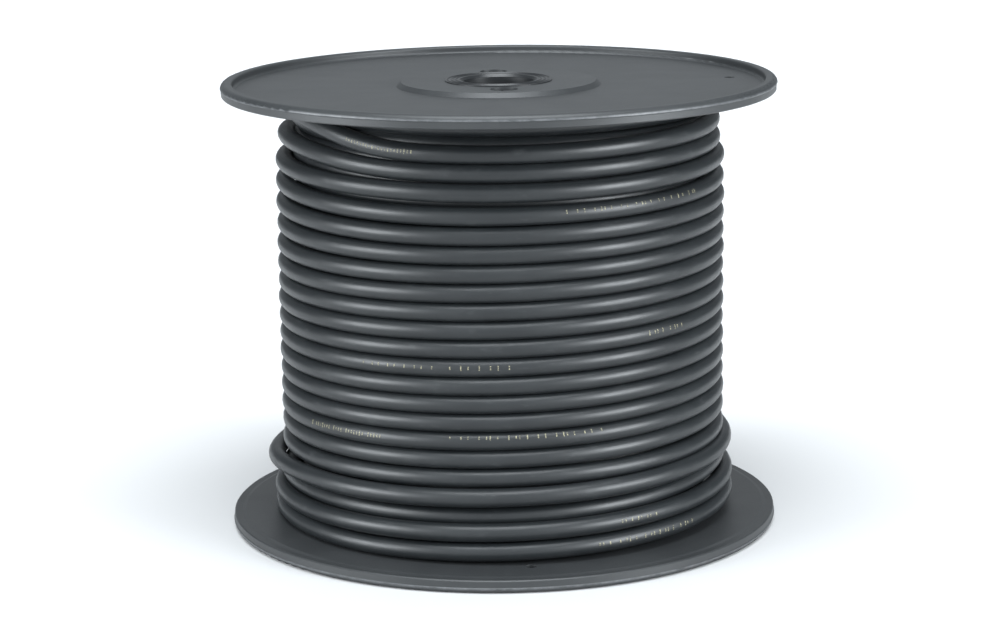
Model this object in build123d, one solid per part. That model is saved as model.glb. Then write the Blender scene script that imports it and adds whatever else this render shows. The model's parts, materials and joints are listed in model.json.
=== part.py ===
from build123d import *
import math
import os

# A plastic cable reel standing on its lower flange, full of round black flexible cord.
# Units are millimetres. The origin is the centre of the reel's footprint, +Z runs up the arbor,
# -Y is the front and an azimuth is counted from the front towards +X.

# ---- Driving dimensions ----
FLANGE_RADIUS = 133.35
REEL_HEIGHT = 216.8
RIM_HEIGHT = 6.2
RIM_WIDTH = 5.7
BEAD_HEIGHT = 2.5
BEAD_ROUNDING = 2.75
PARTING_STEP = 0.35
PARTING_HEIGHT = 0.45
RIM_DRAFT = 0.1
RIM_CHAMFER = 0.5
CREST_ROUNDING = 1.1
PLATE_ROUNDING = 1.3
CREST_INSET = 2.6
PLATE_RECESS = 3.7
INNER_FACE = 6.6
STEP_OUTER = 1.5
STEP_INNER = 0.4
OVERLAP = 0.5           # how far joined pieces of one body reach into each other
THROUGH = 1.0           # how far a cut starts outside the body
BOSS_RADIUS = 49.2
BOSS_SLOPE = 2.3
BOSS_RISE = 2.1
BORE_RADIUS = 17.5
CABLE_DIAMETER = 8.6
BARREL_RADIUS = 47.0
BARREL_WALL = 2.5
BOLT_CIRCLE_RADIUS = 33.5
BOLT_AZIMUTHS = (4.2, 184.2)
TIE_HOLE_RADIUS = 2.6
TIE_HOLE_CIRCLE_RADIUS = 113.0
UPPER_TIE_HOLE_AZIMUTH = 97.5
LOWER_TIE_HOLE_AZIMUTH = 6.1

# ---- Hub ----
PLATE_OUTER = PLATE_RECESS
BOSS_FACE = PLATE_OUTER - BOSS_RISE
SPIGOT_CLEARANCE = 0.2
SPIGOT_RADIUS = BARREL_RADIUS - BARREL_WALL - SPIGOT_CLEARANCE
SPIGOT_WALL = 2.6
SPIGOT_TOP = INNER_FACE + 8.0
RIB_THICKNESS = 2.2
RIB_COUNT = 8
RIB_SHORTFALL = 1.0
BUSH_RADIUS = 20.3
BUSH_FLANGE_RADIUS = 25.8
BUSH_FLANGE_THICKNESS = 1.6
BUSH_PROUD = 0.5
BUSH_LENGTH = 10.0
BUSH_MOUTH_CHAMFER = 1.2
BUSH_RIDGE_RADII = (20.6, 22.6, 24.6)
BUSH_RIDGE_WIDTH = 0.7
BUSH_RIDGE_RISE = 0.3
BUSH_RIDGE_ROOT = 0.2
COLLAR_WALL = 3.0

# ---- Tie bolts ----
BOLT_RADIUS = 3.0
BOLT_HOLE_RADIUS = 3.3
COUNTERBORE_RADIUS = 6.6
COUNTERBORE_DEPTH = 5.3
WASHER_RADIUS = 6.2
WASHER_THICKNESS = 1.1
HEAD_RADIUS = 5.4
HEAD_HEIGHT = 3.2
HEAD_ROUNDING = 1.6
RECESS_WIDTH = 1.3
RECESS_LENGTH = 6.0
RECESS_DEPTH = 2.0
RECESS_TURN = 20.0
NUT_ACROSS_FLATS = 10.0
NUT_THICKNESS = 3.6
BOLT_SHORTFALL = 0.2
POST_RADIUS = 9.2
POST_TOP = INNER_FACE + 10.0

# ---- Winding ----
CABLE_RADIUS = CABLE_DIAMETER / 2
LAYERS = 7
TURNS_PER_LAYER = 23
INNER_STRETCH_LAYERS = 5
TURN_PITCH = 8.65
OUTER_LAYER_RADIUS = 103.8
FIRST_LAYER_RADIUS = BARREL_RADIUS + CABLE_RADIUS
LAYER_STEP = (OUTER_LAYER_RADIUS - FIRST_LAYER_RADIUS) / (LAYERS - 1)
LOWEST_TURN = INNER_FACE + CABLE_RADIUS
STRAP_THICKNESS = 1.1
SAME_POINT = 0.0001
HIGHEST_TURN = REEL_HEIGHT - INNER_FACE - STRAP_THICKNESS - CABLE_RADIUS
LOOSE_TURNS = 5
STANDING_PROUD = {0: 4.4, 1: 4.4, 3: 6.0}

# ---- Cut end of the cable, on the top turn behind ----
END_AZIMUTH = 176.0
END_SWEEP = 12.0
END_GAP_SWEEP = 9.0
END_HEADROOM = 1.2
JACKET_WALL = 1.15
CORE_RADIUS = 1.4
CONDUCTOR_RADIUS = 0.78
CORE_CIRCLE_RADIUS = 1.7
CORE_ANGLES = (90, 210, 330)
FIT_CLEARANCE = 0.02
TIE_AZIMUTH = 164.0
STRAP_WIDTH = 3.8
STRAP_BITE = 0.3
STRAP_CORNER_SHORTFALL = 0.1
TIE_HEAD_WIDTH = 6.2
TIE_HEAD_HEIGHT = 7.4
TIE_HEAD_THICKNESS = 4.4
TIE_HEAD_CHAMFER = 0.6


def at_azimuth(radius, azimuth, z=0.0):
    """The point at that radius and azimuth."""
    angle = math.radians(azimuth)
    return Vector(radius * math.sin(angle), -radius * math.cos(angle), z)


def revolved(points, start=0.0, sweep=360.0):
    """A solid of revolution about Z from a closed outline of (radius, height) points."""
    corners = [(radius, 0, height) for radius, height in points]
    face = make_face(Polyline(*corners, close=True).edges())
    return revolve(face, axis=Axis.Z, revolution_arc=sweep).rotate(Axis.Z, start)


def ring(inner, outer, low, high):
    """A plain round ring about Z."""
    return revolved([(inner, low), (outer, low), (outer, high), (inner, high)])


def post(radius, low, high, place):
    """An upright round bar whose axis passes through place."""
    return Pos(place.X, place.Y, (low + high) / 2) * Cylinder(radius, high - low)


def upside_down(solid):
    """The same piece at the other end of the reel, facing the other way."""
    return mirror(solid, about=Plane.XY.offset(REEL_HEIGHT / 2))


# ---- Flanges ----
def rim_and_plate():
    """The moulded disc as one turned outline, outer side down."""
    crest_outer = FLANGE_RADIUS - CREST_INSET
    wall_inner = FLANGE_RADIUS - RIM_WIDTH
    band = FLANGE_RADIUS - PARTING_STEP
    with BuildSketch(Plane.XZ) as outline:
        with BuildLine():
            crest = Line((wall_inner + CREST_ROUNDING, 0), (crest_outer, 0))
            shoulder = RadiusArc(crest @ 1, (FLANGE_RADIUS, BEAD_HEIGHT), -BEAD_ROUNDING)
            parting = Line(shoulder @ 1, (band, BEAD_HEIGHT + PARTING_HEIGHT))
            face = Line(parting @ 1, (band - RIM_DRAFT, RIM_HEIGHT - RIM_CHAMFER))
            edge = Line(face @ 1, (band - RIM_DRAFT - RIM_CHAMFER, RIM_HEIGHT))
            inner_rim = Line(edge @ 1, (wall_inner + STEP_OUTER, RIM_HEIGHT))
            step = Line(inner_rim @ 1, (wall_inner - STEP_INNER, INNER_FACE))
            inner_face = Line(step @ 1, (BUSH_RADIUS, INNER_FACE))
            hole = Line(inner_face @ 1, (BUSH_RADIUS, BOSS_FACE))
            boss = Line(hole @ 1, (BOSS_RADIUS - BOSS_SLOPE, BOSS_FACE))
            slope = Line(boss @ 1, (BOSS_RADIUS, PLATE_OUTER))
            plate = Line(slope @ 1, (wall_inner - PLATE_ROUNDING, PLATE_OUTER))
            foot = RadiusArc(plate @ 1, (wall_inner, PLATE_OUTER - PLATE_ROUNDING), PLATE_ROUNDING)
            wall = Line(foot @ 1, (wall_inner, CREST_ROUNDING))
            RadiusArc(wall @ 1, (wall_inner + CREST_ROUNDING, 0), -CREST_ROUNDING)
        make_face()
    return revolve(outline.sketch, axis=Axis.Z)


def flange(tie_hole_azimuth, turned_over):
    """One flange with its hub, outer side down, ready to stand at the foot of the reel."""
    body = rim_and_plate()
    body += ring(SPIGOT_RADIUS - SPIGOT_WALL, SPIGOT_RADIUS, INNER_FACE - OVERLAP, SPIGOT_TOP)
    body += ring(BUSH_RADIUS, BUSH_RADIUS + COLLAR_WALL, INNER_FACE - OVERLAP, SPIGOT_TOP)
    rib_inner = BUSH_RADIUS + COLLAR_WALL / 2
    rib_outer = SPIGOT_RADIUS - SPIGOT_WALL / 2
    rib_low = INNER_FACE
    rib_high = SPIGOT_TOP - RIB_SHORTFALL
    rib = Pos((rib_inner + rib_outer) / 2, 0, (rib_low + rib_high) / 2) * Box(
        rib_outer - rib_inner, RIB_THICKNESS, rib_high - rib_low
    )
    first_rib = BOLT_AZIMUTHS[0] - 90
    for number in range(RIB_COUNT):
        body += rib.rotate(Axis.Z, first_rib + number * 360 / RIB_COUNT)
    for azimuth in BOLT_AZIMUTHS:
        place = at_azimuth(BOLT_CIRCLE_RADIUS, azimuth)
        body += post(POST_RADIUS, INNER_FACE - OVERLAP, POST_TOP, place)
    for azimuth in BOLT_AZIMUTHS:
        place = at_azimuth(BOLT_CIRCLE_RADIUS, azimuth)
        body -= post(BOLT_HOLE_RADIUS, -THROUGH, POST_TOP + THROUGH, place)
        body -= post(COUNTERBORE_RADIUS, -THROUGH, BOSS_FACE + COUNTERBORE_DEPTH, place)
    seat = BOSS_FACE + BUSH_FLANGE_THICKNESS - BUSH_PROUD
    body -= post(BUSH_FLANGE_RADIUS, -THROUGH, seat, Vector(0, 0, 0))
    body -= post(BUSH_RADIUS, -THROUGH, SPIGOT_TOP + THROUGH, Vector(0, 0, 0))
    tie_hole = at_azimuth(TIE_HOLE_CIRCLE_RADIUS, tie_hole_azimuth)
    body -= post(TIE_HOLE_RADIUS, -THROUGH, INNER_FACE + THROUGH, tie_hole)
    return upside_down(body) if turned_over else body


def arbor_bush(turned_over):
    """The flanged lining of one arbor hole, with fine turned ridges round its mouth."""
    face = BOSS_FACE - BUSH_PROUD
    body = revolved([
        (BORE_RADIUS + BUSH_MOUTH_CHAMFER, face),
        (BUSH_FLANGE_RADIUS, face),
        (BUSH_FLANGE_RADIUS, face + BUSH_FLANGE_THICKNESS),
        (BUSH_RADIUS, face + BUSH_FLANGE_THICKNESS),
        (BUSH_RADIUS, face + BUSH_LENGTH),
        (BORE_RADIUS, face + BUSH_LENGTH),
        (BORE_RADIUS, face + BUSH_MOUTH_CHAMFER),
    ])
    for radius in BUSH_RIDGE_RADII:
        half = BUSH_RIDGE_WIDTH / 2
        body += revolved([
            (radius - half, face),
            (radius, face - BUSH_RIDGE_RISE),
            (radius + half, face),
            (radius, face + BUSH_RIDGE_ROOT),
        ])
    return upside_down(body) if turned_over else body


# ---- Core of the reel ----
def barrel_tube():
    """The drum that the cable is wound on, held on the spigots of both flanges."""
    return ring(BARREL_RADIUS - BARREL_WALL, BARREL_RADIUS, INNER_FACE, REEL_HEIGHT - INNER_FACE)


def arbor_tube():
    """The sleeve that carries the arbor from bush to bush."""
    end = BOSS_FACE - BUSH_PROUD + BUSH_LENGTH
    return ring(BORE_RADIUS, BUSH_RADIUS, end, REEL_HEIGHT - end)


# ---- Fasteners, one of each at both bolt holes ----
LOWER_SEAT = BOSS_FACE + COUNTERBORE_DEPTH
UPPER_SEAT = REEL_HEIGHT - LOWER_SEAT
HEAD_BASE = UPPER_SEAT + WASHER_THICKNESS
NUT_TOP = LOWER_SEAT - WASHER_THICKNESS
BOLT_END = NUT_TOP - NUT_THICKNESS - BOLT_SHORTFALL


def at_both_bolts(make):
    """A group of two separate solids, one at each bolt hole."""
    return Compound(children=[
        Pos(at_azimuth(BOLT_CIRCLE_RADIUS, azimuth)) * make(azimuth) for azimuth in BOLT_AZIMUTHS
    ])


def tie_bolt(azimuth):
    """A long pan-head bolt with a crossed driving recess."""
    shank = Pos(0, 0, (BOLT_END + HEAD_BASE) / 2) * Cylinder(BOLT_RADIUS, HEAD_BASE - BOLT_END)
    head = Pos(0, 0, HEAD_BASE + HEAD_HEIGHT / 2) * Cylinder(HEAD_RADIUS, HEAD_HEIGHT)
    head = fillet(head.edges().sort_by(Axis.Z)[-1], HEAD_ROUNDING)
    slot_low = HEAD_BASE + HEAD_HEIGHT - RECESS_DEPTH
    slot_tall = RECESS_DEPTH + THROUGH
    slot = Pos(0, 0, slot_low + slot_tall / 2) * Box(RECESS_LENGTH, RECESS_WIDTH, slot_tall)
    cross = slot + slot.rotate(Axis.Z, 90)
    return (shank + head - cross.rotate(Axis.Z, azimuth + RECESS_TURN)).clean()


def washer(low):
    """A flat washer resting at that height."""
    body = Pos(0, 0, low + WASHER_THICKNESS / 2) * Cylinder(WASHER_RADIUS, WASHER_THICKNESS)
    return body - Pos(0, 0, low) * Cylinder(BOLT_HOLE_RADIUS, 4 * WASHER_THICKNESS)


def tie_nut(azimuth):
    """A thin hexagon nut."""
    hexagon = RegularPolygon(NUT_ACROSS_FLATS / 2, 6, major_radius=False)
    body = Pos(0, 0, NUT_TOP - NUT_THICKNESS) * extrude(hexagon, NUT_THICKNESS)
    return body - Pos(0, 0, NUT_TOP) * Cylinder(BOLT_RADIUS, 4 * NUT_THICKNESS)


# ---- Cable ----
def turn_height(turn):
    """The height of a turn of the outer layer, counted from 0 at the lower flange."""
    regular = LOWEST_TURN + turn * TURN_PITCH
    slack = HIGHEST_TURN - (LOWEST_TURN + (TURNS_PER_LAYER - 1) * TURN_PITCH)
    loose = max(0.0, turn - (TURNS_PER_LAYER - 1 - LOOSE_TURNS)) / LOOSE_TURNS
    return regular + slack * loose


def turn_radius(turn):
    """The radius of a turn of the outer layer."""
    return OUTER_LAYER_RADIUS + STANDING_PROUD.get(turn, 0.0)


def layer_boundary(layers):
    """The outer radius of that many layers."""
    return FIRST_LAYER_RADIUS + (layers - 0.5) * LAYER_STEP


def winding_low_high():
    """The heights between which the cable fills the reel."""
    return INNER_FACE, REEL_HEIGHT - INNER_FACE


def cable_inner_layers():
    """The buried layers as one ring."""
    return ring(BARREL_RADIUS, layer_boundary(INNER_STRETCH_LAYERS), *winding_low_high())


def arc_piece(section, start, sweep):
    """A section drawn at the top turn's centre, swept round the reel between two azimuths."""
    local = Plane(origin=(turn_radius(TURNS_PER_LAYER - 1), 0, HIGHEST_TURN), x_dir=(1, 0, 0), z_dir=(0, -1, 0))
    return revolve(local * section, axis=Axis.Z, revolution_arc=sweep).rotate(Axis.Z, start - 90)


def strap_section(grow):
    """The outline of the strap's loop round the two top turns, in the plane of radius and height."""
    low = turn_height(TURNS_PER_LAYER - 2) - HIGHEST_TURN
    height = CABLE_DIAMETER - low + 2 * grow
    return Pos(0, low / 2) * RectangleRounded(
        CABLE_DIAMETER + 2 * grow, height, CABLE_RADIUS + grow - STRAP_CORNER_SHORTFALL
    )


def strap_loop(outside, inside):
    """The band between two such outlines, as wide as the strap, at the tie."""
    sweep = math.degrees(STRAP_WIDTH / OUTER_LAYER_RADIUS)
    band = strap_section(outside) - strap_section(inside)
    return arc_piece(band, TIE_AZIMUTH - sweep / 2, sweep)


def cable_outer_layers():
    """The outer layers as one ring with a round ridge for each turn of the last layer."""
    low, high = winding_low_high()
    inner = layer_boundary(INNER_STRETCH_LAYERS)
    with BuildSketch(Plane.XZ) as outline:
        with BuildLine():
            bottom = Line((inner, high), (inner, low))
            end = Line(bottom @ 1, (turn_radius(0), low)) @ 1
            for turn in range(TURNS_PER_LAYER):
                radius = turn_radius(turn)
                foot = (radius, turn_height(turn) - CABLE_RADIUS)
                crown = (radius + CABLE_RADIUS, turn_height(turn))
                head = (radius, turn_height(turn) + CABLE_RADIUS)
                if (Vector(*foot) - end).length > SAME_POINT:
                    Line(end, foot)
                end = ThreePointArc(foot, crown, head) @ 1
            last = Line(end, (end.X, high))
            Line(last @ 1, (inner, high))
        make_face()
    body = revolve(outline.sketch, axis=Axis.Z)
    emptied = Circle(CABLE_RADIUS + FIT_CLEARANCE)
    body -= arc_piece(emptied, END_AZIMUTH - END_SWEEP, END_SWEEP + END_GAP_SWEEP)
    shoulder = Pos(CABLE_RADIUS, CABLE_RADIUS) * Rectangle(
        CABLE_DIAMETER + 2 * FIT_CLEARANCE, CABLE_DIAMETER + 2 * END_HEADROOM
    )
    body -= arc_piece(shoulder, END_AZIMUTH - END_SWEEP, END_SWEEP + END_GAP_SWEEP)
    return body - strap_loop(STRAP_THICKNESS + FIT_CLEARANCE, -STRAP_BITE)


def core_places():
    """The centres of the three cores in the cable's section."""
    return [
        (CORE_CIRCLE_RADIUS * math.cos(math.radians(angle)), CORE_CIRCLE_RADIUS * math.sin(math.radians(angle)))
        for angle in CORE_ANGLES
    ]


def end_piece(section):
    """A piece of the cut end, from where the winding stops to the cut face."""
    return arc_piece(section, END_AZIMUTH - END_SWEEP, END_SWEEP)


def cable_end_jacket():
    """The last stretch of the black sheath."""
    return end_piece(Circle(CABLE_RADIUS) - Circle(CABLE_RADIUS - JACKET_WALL))


def cable_end_filler():
    """The fibre filler between the cores."""
    section = Circle(CABLE_RADIUS - JACKET_WALL - FIT_CLEARANCE)
    for place in core_places():
        section -= Pos(*place) * Circle(CORE_RADIUS + FIT_CLEARANCE)
    return end_piece(section)


def core_insulation(place):
    """The coloured insulation of one core."""
    return end_piece(Pos(*place) * (Circle(CORE_RADIUS) - Circle(CONDUCTOR_RADIUS)))


def conductors():
    """The three bundles of copper strands, as separate solids."""
    return Compound(children=[end_piece(Pos(*place) * Circle(CONDUCTOR_RADIUS)) for place in core_places()])


def end_tie():
    """The cable tie that holds the cut end to the turn below it, with its ratchet head outside."""
    strap = strap_loop(STRAP_THICKNESS, 0.0)
    height = (turn_height(TURNS_PER_LAYER - 1) + turn_height(TURNS_PER_LAYER - 2)) / 2
    head_radius = OUTER_LAYER_RADIUS + CABLE_RADIUS + TIE_HEAD_THICKNESS / 2
    head = Box(TIE_HEAD_WIDTH, TIE_HEAD_THICKNESS, TIE_HEAD_HEIGHT)
    head = chamfer(head.edges(), TIE_HEAD_CHAMFER)
    head = Pos(at_azimuth(head_radius, TIE_AZIMUTH, height)) * Rot(0, 0, TIE_AZIMUTH) * head
    return strap + head


insulation_names = ("cable_end_core_black", "cable_end_core_white", "cable_end_core_green")
nodes = {
    "lower_flange": flange(LOWER_TIE_HOLE_AZIMUTH, turned_over=False),
    "upper_flange": flange(UPPER_TIE_HOLE_AZIMUTH, turned_over=True),
    "lower_arbor_bush": arbor_bush(turned_over=False),
    "upper_arbor_bush": arbor_bush(turned_over=True),
    "barrel_tube": barrel_tube(),
    "arbor_tube": arbor_tube(),
    "tie_bolts": at_both_bolts(tie_bolt),
    "head_washers": at_both_bolts(lambda azimuth: washer(UPPER_SEAT)),
    "nut_washers": at_both_bolts(lambda azimuth: washer(NUT_TOP)),
    "tie_nuts": at_both_bolts(tie_nut),
    "cable_inner_layers": cable_inner_layers(),
    "cable_outer_layers": cable_outer_layers(),
    "cable_end_jacket": cable_end_jacket(),
    "cable_end_filler": cable_end_filler(),
    "cable_end_conductors": conductors(),
    "cable_end_tie": end_tie(),
}
for name, place in zip(insulation_names, core_places()):
    nodes[name] = core_insulation(place)

os.makedirs("parts", exist_ok=True)
for name, shape in nodes.items():
    export_step(shape, f"parts/{name}.step")
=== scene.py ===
import json
import math

import bmesh
import bpy
from mathutils import Matrix, Vector


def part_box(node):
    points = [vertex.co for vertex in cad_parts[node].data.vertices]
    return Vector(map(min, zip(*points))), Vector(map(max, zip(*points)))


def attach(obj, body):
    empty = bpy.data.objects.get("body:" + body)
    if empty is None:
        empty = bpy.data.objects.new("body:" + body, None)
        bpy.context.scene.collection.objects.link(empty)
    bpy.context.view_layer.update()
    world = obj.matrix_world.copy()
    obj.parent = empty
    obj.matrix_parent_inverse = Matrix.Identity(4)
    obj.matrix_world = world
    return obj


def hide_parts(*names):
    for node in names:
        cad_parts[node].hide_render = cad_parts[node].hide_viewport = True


# A black cable reel wound full of round black flexible cord. Metres, +Z up the arbor, -Y the front.
# An azimuth is in degrees and is counted from the front towards +X.

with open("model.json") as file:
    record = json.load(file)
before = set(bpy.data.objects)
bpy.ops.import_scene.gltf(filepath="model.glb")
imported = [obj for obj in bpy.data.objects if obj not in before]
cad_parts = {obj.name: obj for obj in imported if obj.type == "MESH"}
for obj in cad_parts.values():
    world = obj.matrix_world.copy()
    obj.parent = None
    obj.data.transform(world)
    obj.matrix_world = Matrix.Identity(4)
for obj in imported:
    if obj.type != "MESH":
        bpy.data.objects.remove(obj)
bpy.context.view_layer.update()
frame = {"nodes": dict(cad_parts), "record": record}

# ---- Sizes taken from the frame ----
MM = 0.001
FLANGE_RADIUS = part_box("lower_flange")[1].x
BARREL_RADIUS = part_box("barrel_tube")[1].x
LOWER_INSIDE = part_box("cable_outer_layers")[0].z
UPPER_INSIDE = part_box("cable_outer_layers")[1].z
END_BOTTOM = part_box("cable_end_jacket")[0].z
END_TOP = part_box("cable_end_jacket")[1].z
TIE_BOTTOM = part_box("cable_end_tie")[0].z
CABLE_DIAMETER = END_TOP - END_BOTTOM
CABLE_RADIUS = CABLE_DIAMETER / 2

# ---- Winding ----
LAYERS = 7
INNER_LAYERS = 5
TURNS_PER_LAYER = 23
FIRST_LAYER_RADIUS = BARREL_RADIUS + CABLE_RADIUS
OUTER_LAYER_RADIUS = 103.8 * MM
LAYER_STEP = (OUTER_LAYER_RADIUS - FIRST_LAYER_RADIUS) / (LAYERS - 1)
LOWEST_TURN = LOWER_INSIDE + CABLE_RADIUS
HIGHEST_TURN = UPPER_INSIDE - CABLE_RADIUS
FLANGE_DWELL = 0.36     # turns that lie against a flange before the cord sets off across the reel
CLIMB = 0.12            # turns in which the cord climbs to the next layer
LATE_START = 0.25       # turns more that the last buried layer stays against the upper flange
LAYER_START = 180.0     # azimuth where every layer begins, behind the reel

# ---- Outer layer: turn 0 is the lowest as it passes the front ----
OUTER_START = -0.5      # turn at which it begins, behind the reel
OUTER_PITCH = 8.58 * MM
OUTER_FIRST_TURN = 12.05 * MM
OUTER_TILT = 0.5 * MM   # how much higher its turns lie at the right than at the front
SINK = 2.0 * MM         # how much deeper the loose upper turns lie
SINK_START = 19.4
SINK_SPAN = 0.5

# Unevenness of its radius, as waves: millimetres, radians for each turn, and radians at turn 0.
UNEVEN = ((0.15, 2.3, 0.0), (0.1, 5.9, 1.0))

# Where it crosses itself low on the reel: turn, lift and stand-out in millimetres, between which it eases.
LOW_CROSSING = (
    (-0.5, 0.0, 4.4), (1.2, 0.9, 4.4), (1.68, 0.0, 3.0), (1.86, -1.5, -1.6), (2.1, -1.6, -1.6),
    (2.24, 1.2, 0.6), (2.42, -0.6, 4.2), (2.62, 0.3, 5.6), (2.74, -2.2, 8.0), (2.84, 0.0, 4.4),
    (3.25, 0.3, 3.8), (3.7, -0.9, 0.0), (4.0, -0.3, 0.0), (4.2, -1.3, 0.0), (4.7, 0.0, 0.0),
)

# How the loose upper turns ride up: millimetres, turn at which the rise starts, and turns that it takes.
RISE_SLIGHT = (0.3, 17.0, 1.0)
RISE_ALL_ROUND = (1.8, 18.7, 0.25)
RISE_AT_LEFT = (8.4, 13.0, 7.5)
LEFT_AZIMUTH = -105.0
LEFT_NARROWNESS = 6
RISE_OF_LAST = (9.0, 20.45, 0.35)
LAST_IS_DOWN = 20.93    # turn by which the last one is down again
LAST_DROP = 0.13        # turns that this takes
HUMP = 2.0              # millimetres that the last but one rises further for a moment
HUMP_TURN = 19.8
HUMP_HALF = 0.13

# ---- Cut end, tied to the turn below it ----
END_AZIMUTH = 164.0     # where the visible curve hands over to the cut end
END_TURN = 21 + END_AZIMUTH / 360
END_HEIGHT = (END_BOTTOM + END_TOP) / 2
STRAP_THICKNESS = 1.1 * MM
NEIGHBOUR_HEIGHT = TIE_BOTTOM + STRAP_THICKNESS + CABLE_RADIUS
TIED_HALF = 0.16        # turns to either side in which the cord eases to its tied height


def smooth(x):
    """0 below 0, 1 above 1, and eased between."""
    x = max(0.0, min(1.0, x))
    return x * x * (3 - 2 * x)


def bump(distance, half_width):
    """1 at no distance, easing to 0 at half_width either way."""
    return 1 - smooth(abs(distance) / half_width)


def mix(a, b, share):
    """a where share is 0 and b where it is 1."""
    return a + (b - a) * share


def polar(radius, azimuth, height):
    """The point at that radius, azimuth and height."""
    angle = math.radians(azimuth)
    return Vector((radius * math.sin(angle), -radius * math.cos(angle), height))


def regular_turn(layer, turn):
    """Radius, azimuth and height of a buried layer, counted from 0, so many turns after its start."""
    climbed = smooth((turn - TURNS_PER_LAYER + CLIMB) / CLIMB)
    late = LATE_START if layer == LAYERS - 2 else 0.0
    crossed = (turn - late - FLANGE_DWELL) / (TURNS_PER_LAYER - 2 * FLANGE_DWELL)
    crossed = max(0.0, min(1.0, crossed))
    if layer % 2:
        crossed = 1 - crossed
    radius = FIRST_LAYER_RADIUS + (layer + climbed) * LAYER_STEP
    return radius, LAYER_START + 360 * turn, mix(LOWEST_TURN, HIGHEST_TURN, crossed)


def low_crossing(turn):
    """Lift and stand-out of the outer layer's first turns."""
    for (turn_a, lift_a, out_a), (turn_b, lift_b, out_b) in zip(LOW_CROSSING, LOW_CROSSING[1:]):
        if turn_a <= turn <= turn_b:
            share = smooth((turn - turn_a) / (turn_b - turn_a))
            return mix(lift_a, lift_b, share) * MM, mix(out_a, out_b, share) * MM
    return 0.0, 0.0


def risen(turn, rise):
    """How much of a rise there is at that turn, in millimetres."""
    height, start, span = rise
    return height * smooth((turn - start) / span)


def ridden_up(turn):
    """How far the loose upper turns have ridden up: a few all round, more at the left, most of all the last."""
    all_round = risen(turn, RISE_SLIGHT) + risen(turn, RISE_ALL_ROUND)
    leftness = math.cos(math.radians((360 * turn - LEFT_AZIMUTH) / 2)) ** LEFT_NARROWNESS
    at_left = risen(turn, RISE_AT_LEFT) * leftness
    last = risen(turn, RISE_OF_LAST) * smooth((LAST_IS_DOWN - turn) / LAST_DROP)
    last_but_one = HUMP * bump(turn - HUMP_TURN, HUMP_HALF)
    return (all_round + at_left + last_but_one + last) * MM


def outer_turn(turn):
    """Radius, azimuth and height of the outer layer at that turn."""
    lift, stand_out = low_crossing(turn)
    sunk = SINK * smooth((turn - SINK_START) / SINK_SPAN)
    uneven = sum(size * MM * math.sin(rate * turn + phase) for size, rate, phase in UNEVEN)
    radius = OUTER_LAYER_RADIUS + stand_out - sunk + uneven
    tilt = OUTER_TILT * math.sin(math.tau * turn)
    height = OUTER_FIRST_TURN + turn * OUTER_PITCH + tilt + lift + ridden_up(turn)
    height = max(LOWEST_TURN, min(HIGHEST_TURN, height))
    tied = bump(turn - END_TURN, TIED_HALF)
    height = mix(height, END_HEIGHT, tied)
    radius = mix(radius, OUTER_LAYER_RADIUS, tied)
    height = mix(height, NEIGHBOUR_HEIGHT, bump(turn - END_TURN + 1, TIED_HALF))
    return radius, 360 * turn, height


def coil_points(make, turns, steps, first=0.0):
    """Control points of one layer, steps to the turn.

    A spline of order 3 passes inside its control polygon, so the polygon is a little larger than the winding.
    """
    grow = 1 / (0.75 + 0.25 * math.cos(2 * math.pi / steps))
    count = round(turns * steps)
    points = []
    for number in range(count):
        radius, azimuth, height = make(first + number * turns / count)
        points.append(polar(radius * grow, azimuth, height))
    return points


def cord_curve(name, points, spans, sides):
    """A round cord along a smooth spline with those control points, drawn with that many spans and sides."""
    curve = bpy.data.curves.new(name, "CURVE")
    curve.dimensions = "3D"
    spline = curve.splines.new("NURBS")
    spline.points.add(len(points) - 1)
    for control, place in zip(spline.points, points):
        control.co = (*place, 1)
        control.radius = CABLE_RADIUS
    spline.order_u = 3
    spline.use_endpoint_u = True
    spline.resolution_u = spans
    curve.bevel_depth = 1.0     # times each point's radius
    curve.bevel_resolution = (sides - 4) // 2
    curve.use_fill_caps = True
    cord = bpy.data.objects.new(name, curve)
    bpy.context.scene.collection.objects.link(cord)
    return cord


MEASURING_STEPS = 72    # chords to the turn when a length is measured


def wound_length(make, turns, first=0.0):
    """The length of that many turns."""
    count = round(turns * MEASURING_STEPS)
    places = [polar(*make(first + number * turns / count)) for number in range(count + 1)]
    return sum((b - a).length for a, b in zip(places, places[1:]))


# ---- Camera ----
CAMERA_PLACE = Vector((-0.0063, -9.959, 2.904)) * FLANGE_RADIUS
CAMERA_LENS = 100.06    # millimetres
CAMERA_SENSOR = 36.0    # millimetres
CAMERA_SEES = 50.0      # metres, far enough for the whole floor
CAMERA_DOWN = 0.215     # radians below level
CAMERA_ROLL = -0.0133   # radians


def camera():
    """Looks down at the reel from the front through a long lens, with a slight roll."""
    data = bpy.data.cameras.new("camera")
    data.lens = CAMERA_LENS
    data.sensor_width = CAMERA_SENSOR
    data.clip_end = CAMERA_SEES
    view = bpy.data.objects.new("camera", data)
    bpy.context.scene.collection.objects.link(view)
    tilt = Matrix.Rotation(math.pi / 2 - CAMERA_DOWN, 4, "X") @ Matrix.Rotation(CAMERA_ROLL, 4, "Z")
    view.matrix_world = Matrix.Translation(CAMERA_PLACE) @ tilt
    bpy.context.scene.camera = view


camera()


# ---- Cord ----
def buried_points(layers, steps):
    """Control points of several whole layers."""
    points = []
    for layer in layers:
        points += coil_points(lambda turn: regular_turn(layer, turn), TURNS_PER_LAYER, steps)
    return points


def buried_length(layers):
    """The length of several whole layers."""
    return sum(wound_length(lambda turn: regular_turn(layer, turn), TURNS_PER_LAYER) for layer in layers)


INNER_STEPS = 24        # control points to the turn
OUTER_STEPS = 36
OUTER_TURNS = END_TURN - OUTER_START
hidden_layers = range(INNER_LAYERS)
last_layers = range(INNER_LAYERS, LAYERS - 1)
handover = polar(*regular_turn(INNER_LAYERS, 0))
start = polar(*regular_turn(0, 0))
end = polar(*outer_turn(END_TURN))

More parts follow.
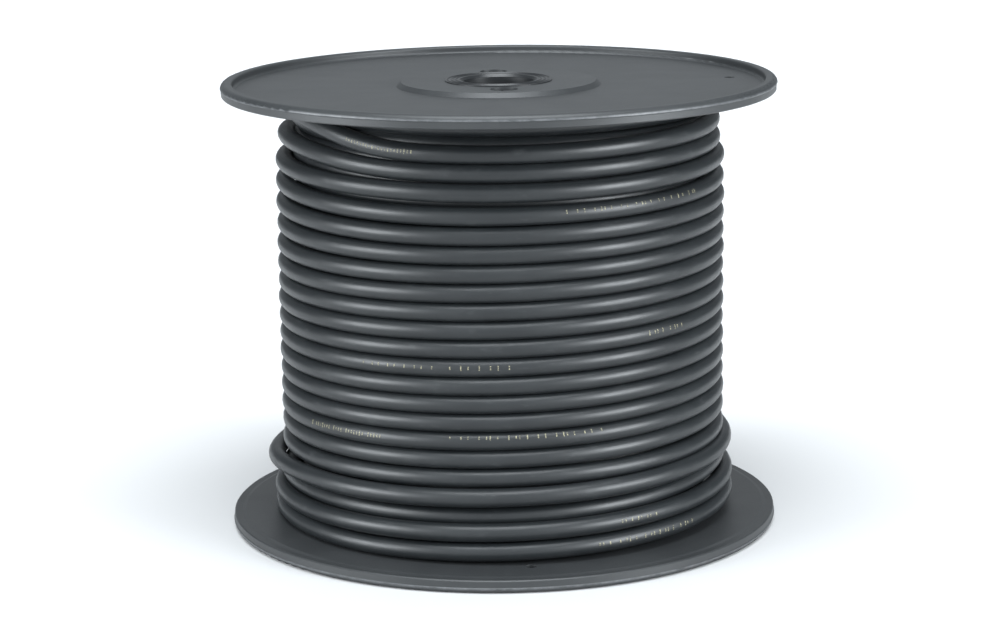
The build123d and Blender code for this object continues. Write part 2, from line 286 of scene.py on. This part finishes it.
inner_points = [start] + buried_points(hidden_layers, INNER_STEPS)[1:] + [handover]
inner_cord = cord_curve("cord_inner_layers", inner_points, spans=2, sides=10)
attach(inner_cord, "root")
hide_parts("cable_inner_layers")
buried_length(hidden_layers)

outer_points = [handover] + buried_points(last_layers, OUTER_STEPS)[1:]
outer_points += coil_points(outer_turn, OUTER_TURNS, OUTER_STEPS, OUTER_START) + [end]
outer_cord = cord_curve("cord_outer_layers", outer_points, spans=3, sides=20)
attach(outer_cord, "root")
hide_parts("cable_outer_layers")
buried_length(last_layers) + wound_length(outer_turn, OUTER_TURNS, OUTER_START)


# ---- Materials ----
class Graph:
    """A shader node tree and short ways to add to it. A value is a number or another node's socket."""

    def __init__(self, tree):
        self.nodes = tree.nodes
        self.links = tree.links

    def feed(self, socket, value):
        """Sets a socket to a number, or links it."""
        if isinstance(value, (int, float)):
            socket.default_value = value
        else:
            self.links.new(value, socket)

    def math(self, operation, *values):
        """A maths node."""
        node = self.nodes.new("ShaderNodeMath")
        node.operation = operation
        for socket, value in zip(node.inputs, values):
            self.feed(socket, value)
        return node.outputs[0]

    def range(self, value, low, high, to_low=0.0, to_high=1.0):
        """A value moved from one range to another, and held inside it."""
        node = self.nodes.new("ShaderNodeMapRange")
        for socket, number in zip(node.inputs, (value, low, high, to_low, to_high)):
            self.feed(socket, number)
        return node.outputs[0]

    def split(self, place):
        """The three parts of a place."""
        node = self.nodes.new("ShaderNodeSeparateXYZ")
        self.links.new(place, node.inputs[0])
        return node.outputs


class Surface(Graph):
    """A procedural material: a principled shader and short ways to feed it."""

    def __init__(self, name, metallic=0.0, specular=0.5):
        self.material = bpy.data.materials.new(name)
        self.material.use_nodes = True
        super().__init__(self.material.node_tree)
        self.shader = self.nodes["Principled BSDF"]
        self.shader.inputs["Metallic"].default_value = metallic
        self.shader.inputs["Specular IOR Level"].default_value = specular
        self.place = self.nodes.new("ShaderNodeTexCoord").outputs["Object"]
        self.normal = None

    def radius(self):
        """Distance from the arbor axis."""
        x, y, _ = self.split(self.place)
        return self.math("SQRT", self.math("ADD", self.math("MULTIPLY", x, x), self.math("MULTIPLY", y, y)))

    def polar_place(self, around, outwards, upwards):
        """Azimuth, radius and height as a place, each to its own scale."""
        x, y, z = self.split(self.place)
        join = self.nodes.new("ShaderNodeCombineXYZ")
        self.links.new(self.math("MULTIPLY", self.math("ARCTAN2", x, y), around), join.inputs[0])
        self.links.new(self.math("MULTIPLY", self.radius(), outwards), join.inputs[1])
        self.links.new(self.math("MULTIPLY", z, upwards), join.inputs[2])
        return join.outputs[0]

    def noise(self, scale, detail=3.0, roughness=0.55, place=None):
        """Soft noise from 0 to 1."""
        node = self.nodes.new("ShaderNodeTexNoise")
        node.inputs["Scale"].default_value = scale
        node.inputs["Detail"].default_value = detail
        node.inputs["Roughness"].default_value = roughness
        self.links.new(place or self.place, node.inputs["Vector"])
        return node.outputs["Fac"]

    def blend(self, share, a, b):
        """A colour from a to b; each is three numbers or a socket."""
        node = self.nodes.new("ShaderNodeMix")
        node.data_type = "RGBA"
        self.links.new(share, node.inputs["Factor"])
        for socket, colour in ((node.inputs[6], a), (node.inputs[7], b)):
            if isinstance(colour, tuple):
                socket.default_value = (*colour, 1)
            else:
                self.links.new(colour, socket)
        return node.outputs[2]

    def paint(self, colour, roughness):
        """Feeds colour and roughness to the shader."""
        self.links.new(colour, self.shader.inputs["Base Color"])
        self.links.new(roughness, self.shader.inputs["Roughness"])

    def relief(self, height, depth, strength):
        """Adds a bump of that depth in metres."""
        node = self.nodes.new("ShaderNodeBump")
        node.inputs["Distance"].default_value = depth
        node.inputs["Strength"].default_value = strength
        self.links.new(height, node.inputs["Height"])
        if self.normal:
            self.links.new(self.normal, node.inputs["Normal"])
        self.normal = node.outputs[0]
        self.links.new(self.normal, self.shader.inputs["Normal"])


def jacket_surface():
    """Satin black sheath with fine extrusion lines, faint scuffs and dust."""
    s = Surface("cable_jacket")
    lines = s.noise(1.0, 2.0, 0.5, s.polar_place(around=6, outwards=2600, upwards=2600))
    scuffs = s.noise(1.0, 4.0, 0.65, s.polar_place(around=9, outwards=220, upwards=220))
    mottle = s.noise(38.0)
    colour = s.blend(s.range(mottle, 0.3, 0.7), (0.010, 0.012, 0.0135), (0.015, 0.0175, 0.019))
    colour = s.blend(s.range(scuffs, 0.6, 0.8, 0, 0.5), colour, (0.045, 0.048, 0.05))
    s.paint(colour, s.range(s.math("ADD", lines, scuffs), 0.7, 1.3, 0.36, 0.46))
    s.relief(lines, 0.03 * MM, 0.5)
    s.relief(s.noise(900.0, 2.0), 0.02 * MM, 0.35)
    return s.material


def print_surface():
    """Rubbed pale ink."""
    s = Surface("print_ink", specular=0.4)
    worn = s.noise(1500.0, 3.0, 0.7)
    colour = s.blend(s.range(worn, 0.38, 0.6), (0.30, 0.28, 0.18), (0.03, 0.03, 0.03))
    s.paint(colour, s.range(worn, 0, 1, 0.5, 0.65))
    return s.material


def reel_surface():
    """Black moulded plastic: fine grain, faint flow marks from the hub, and a paler outermost rim that is partly
    rubbed wear and partly a painted highlight along the parting line.
    """
    s = Surface("reel_plastic")
    grain = s.noise(2200.0, 3.0, 0.6)
    flow = s.noise(1.0, 4.0, 0.6, s.polar_place(around=5, outwards=18, upwards=60))
    cloud = s.noise(22.0, 4.0)
    rubbed = s.noise(1.0, 4.0, 0.7, s.polar_place(around=30, outwards=200, upwards=400))
    # The outermost rim is painted paler: a painted highlight along the parting line, patched with rubbed wear.
    rim_highlight_band = s.range(s.radius(), FLANGE_RADIUS - 0.30 * MM, FLANGE_RADIUS - 0.05 * MM)
    worn = s.math("MULTIPLY", rim_highlight_band, s.range(rubbed, 0.35, 0.65, 0.25, 1))
    marks = s.range(s.math("ADD", flow, cloud), 0.7, 1.3)
    colour = s.blend(marks, (0.024, 0.026, 0.0275), (0.031, 0.0335, 0.035))
    colour = s.blend(worn, colour, (0.11, 0.115, 0.12))
    s.paint(colour, s.range(s.math("ADD", grain, cloud), 0.7, 1.3, 0.40, 0.50))
    s.relief(grain, 0.025 * MM, 0.4)
    s.relief(flow, 0.15 * MM, 0.25)
    return s.material


def bush_surface():
    """Harder black plastic with turned rings."""
    s = Surface("bush_plastic")
    rings = s.noise(1.0, 2.0, 0.5, s.polar_place(around=1, outwards=3000, upwards=900))
    colour = s.blend(s.noise(60.0), (0.011, 0.012, 0.013), (0.019, 0.0205, 0.022))
    s.paint(colour, s.range(rings, 0.3, 0.7, 0.30, 0.44))
    s.relief(rings, 0.05 * MM, 0.5)
    return s.material


def mottled_surface(name, dark, light, roughness, scale, grain=0.05 * MM, metallic=0.0):
    """Metal, plastic or fibre, finely mottled between two colours and two roughnesses, with a grain to match."""
    s = Surface(name, metallic)
    fine = s.noise(scale, 4.0, 0.6)
    s.paint(s.blend(s.range(fine, 0.3, 0.7), dark, light), s.range(fine, 0.3, 0.7, *roughness))
    s.relief(fine, grain, 0.4)
    return s.material


def metal_surface(name, dark, light, roughness, scale):
    """Bare or blackened metal with a fine uneven finish."""
    return mottled_surface(name, dark, light, roughness, scale, grain=0.03 * MM, metallic=1.0)


def strand_surface():
    """Cut copper strands, as small cells across the face."""
    s = Surface("copper_strands", metallic=1.0)
    cells = s.nodes.new("ShaderNodeTexVoronoi")
    cells.inputs["Scale"].default_value = 3600.0
    s.links.new(s.place, cells.inputs["Vector"])
    outward = s.range(cells.outputs["Distance"], 0.1, 0.6)
    s.paint(s.blend(outward, (0.85, 0.42, 0.22), (0.25, 0.09, 0.04)), s.range(outward, 0, 1, 0.25, 0.5))
    s.relief(outward, -0.1 * MM, 0.6)
    return s.material


def floor_surface():
    """Matt studio floor that turns paler from under the reel to behind it: painted light that makes up for the
    weaker lamp light behind the reel.
    """
    s = Surface("studio_floor", specular=0.1)
    # Painted light: the floor is painted paler where less lamp light reaches it, and darker in front where more
    # does.
    behind = s.range(s.split(s.place)[1], -0.15, 0.35)
    cloud = s.noise(1.3, 2.0)
    s.paint(s.blend(behind, (0.53, 0.53, 0.53), (0.78, 0.78, 0.78)), s.range(cloud, 0, 1, 0.85, 0.95))
    return s.material


surfaces = {
    "reel_plastic": reel_surface(),
    "bush_plastic": bush_surface(),
    "black_steel": metal_surface("black_steel", (0.05, 0.05, 0.055), (0.10, 0.10, 0.105), (0.35, 0.5), 700.0),
    "zinc_steel": metal_surface("zinc_steel", (0.42, 0.43, 0.44), (0.60, 0.61, 0.62), (0.28, 0.42), 500.0),
    "cable_jacket": jacket_surface(),
    "fibre_filler": mottled_surface("fibre_filler", (0.42, 0.37, 0.28), (0.68, 0.63, 0.54), (0.85, 0.95), 2600.0),
    "core_black": mottled_surface("core_black", (0.010, 0.010, 0.011), (0.018, 0.018, 0.019), (0.3, 0.4), 300.0),
    "core_white": mottled_surface("core_white", (0.72, 0.71, 0.66), (0.82, 0.81, 0.77), (0.3, 0.4), 300.0),
    "core_green": mottled_surface("core_green", (0.012, 0.16, 0.045), (0.02, 0.22, 0.065), (0.3, 0.4), 300.0),
    "copper_strands": strand_surface(),
    "tie_nylon": mottled_surface("tie_nylon", (0.011, 0.011, 0.012), (0.02, 0.02, 0.021), (0.38, 0.5), 400.0),
}
slot_of = {part["node"]: part["material_slot"] for part in frame["record"]["subparts"]}
for node, piece in frame["nodes"].items():
    piece.data.materials.clear()
    piece.data.materials.append(surfaces[slot_of[node]])
for cord in (inner_cord, outer_cord):
    cord.data.materials.append(surfaces["cable_jacket"])


# ---- Printed ticks on the sheath ----
# Turn of the outer layer, azimuths from and to, degrees round the sheath above its outermost line, and the share
# of ticks that wear has left.
TICK_RUNS = (
    (21, -41, -21, 14, 1.0), (18, 16, 58, 22, 0.45), (11, 38, 52, 12, 0.5), (10, -38, 4, 10, 0.35),
    (6, -56, -30, 12, 0.9), (6, -14, 26, 34, 0.45), (1, 28, 40, 10, 0.6), (0, 22, 55, 10, 0.5),
)
TICK_SPACING = 1.7 * MM     # along the cord
TICK_WIDTH = 0.6 * MM
TICK_HEIGHTS = (2.3, 1.5, 1.5, 1.9, 1.5)    # millimetres, one after another
TICK_ROWS = (-1, -0.33, 0.33, 1)            # across a tick, as shares of half its height
INK_STANDS_OFF = 0.02 * MM
GOLDEN = 0.618034           # its multiples fall evenly between 0 and 1, which scatters the worn ticks


def sheath_point(turn, around):
    """A point just off the sheath of the outer layer, so many degrees above its outermost line."""
    radius, azimuth, height = outer_turn(turn)
    skin = CABLE_RADIUS + INK_STANDS_OFF
    angle = math.radians(around)
    return polar(radius + skin * math.cos(angle), azimuth, height + skin * math.sin(angle))


def printed_ticks():
    """Short ticks of several lengths, a plain length scale worn away in places."""
    mesh = bmesh.new()
    outside = OUTER_LAYER_RADIUS + CABLE_RADIUS
    half_width = TICK_WIDTH / outside / math.tau / 2    # turns
    number = 0
    for turn, azimuth_from, azimuth_to, around, kept in TICK_RUNS:
        run = math.radians(azimuth_to - azimuth_from) * outside
        for step in range(int(run / TICK_SPACING)):
            number += 1
            if (number * GOLDEN) % 1 > kept:
                continue
            middle = turn + mix(azimuth_from, azimuth_to, step * TICK_SPACING / run) / 360
            half_height = math.degrees(TICK_HEIGHTS[number % len(TICK_HEIGHTS)] * MM / CABLE_RADIUS) / 2
            rows = []
            for share in TICK_ROWS:
                angle = around + share * half_height
                sides = (middle - half_width, middle + half_width)
                rows.append([mesh.verts.new(sheath_point(side, angle)) for side in sides])
            for low, high in zip(rows, rows[1:]):
                mesh.faces.new((low[0], low[1], high[1], high[0]))
    data = bpy.data.meshes.new("cord_print_ticks")
    mesh.to_mesh(data)
    mesh.free()
    data.shade_smooth()
    data.materials.append(print_surface())
    ticks = bpy.data.objects.new("cord_print_ticks", data)
    bpy.context.scene.collection.objects.link(ticks)
    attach(ticks, "root")


printed_ticks()


# ---- Studio ----
FLOOR_REACH = 6.0
LIGHT_TINT = (0.95, 1.0, 1.04)
WORLD_TINT = (0.94, 1.0, 1.05)
WORLD_FRONT = 1.15          # strength of the surroundings in front of the reel
WORLD_BEHIND = 0.50         # straight behind it
WORLD_SIDES = 0.10          # behind it and to either side


def studio_floor():
    """A wide pale floor that fills the view."""
    mesh = bmesh.new()
    bmesh.ops.create_grid(mesh, x_segments=1, y_segments=1, size=FLOOR_REACH)
    data = bpy.data.meshes.new("studio_floor")
    mesh.to_mesh(data)
    mesh.free()
    data.materials.append(floor_surface())
    floor = bpy.data.objects.new("studio_floor", data)
    bpy.context.scene.collection.objects.link(floor)


def softbox(name, place, aim, width, depth, radiance):
    """A rectangular soft light that faces a point."""
    data = bpy.data.lights.new(name, "AREA")
    data.shape = "RECTANGLE"
    data.size = width
    data.size_y = depth
    data.energy = radiance * math.pi * width * depth
    data.color = LIGHT_TINT
    light = bpy.data.objects.new(name, data)
    bpy.context.scene.collection.objects.link(light)
    light.location = place
    light.rotation_euler = (light.location - Vector(aim)).to_track_quat("Z", "Y").to_euler()


def studio_world():
    """White surroundings that are bright in front of the reel, fainter behind it and dark to both sides behind."""
    world = bpy.data.worlds.new("studio")
    bpy.context.scene.world = world
    world.use_nodes = True
    graph = Graph(world.node_tree)
    x, y, _ = graph.split(graph.nodes.new("ShaderNodeTexCoord").outputs["Generated"])
    behind = graph.range(graph.math("ABSOLUTE", x), 0.15, 0.55, WORLD_BEHIND, WORLD_SIDES)
    background = graph.nodes["Background"]
    graph.feed(background.inputs["Strength"], graph.range(y, -0.8, 0.1, WORLD_FRONT, behind))
    background.inputs["Color"].default_value = (*WORLD_TINT, 1)


studio_floor()
studio_world()
lower_reel = (0, 0, 0.1)
softbox("left_softbox", polar(1.5, -67, 0.42), lower_reel, width=0.8, depth=0.8, radiance=13.0)
softbox("right_softbox", polar(1.5, 59, 0.42), lower_reel, width=0.7, depth=0.8, radiance=17.0)
softbox("overhead", (0, -0.45, 1.9), lower_reel, width=1.4, depth=1.3, radiance=7.4)
softbox("floor_wash", (0, 1.2, 2.2), (0, 4.4, 1.2), width=3.4, depth=1.2, radiance=8.0)
bpy.context.scene.view_settings.view_transform = "Standard"
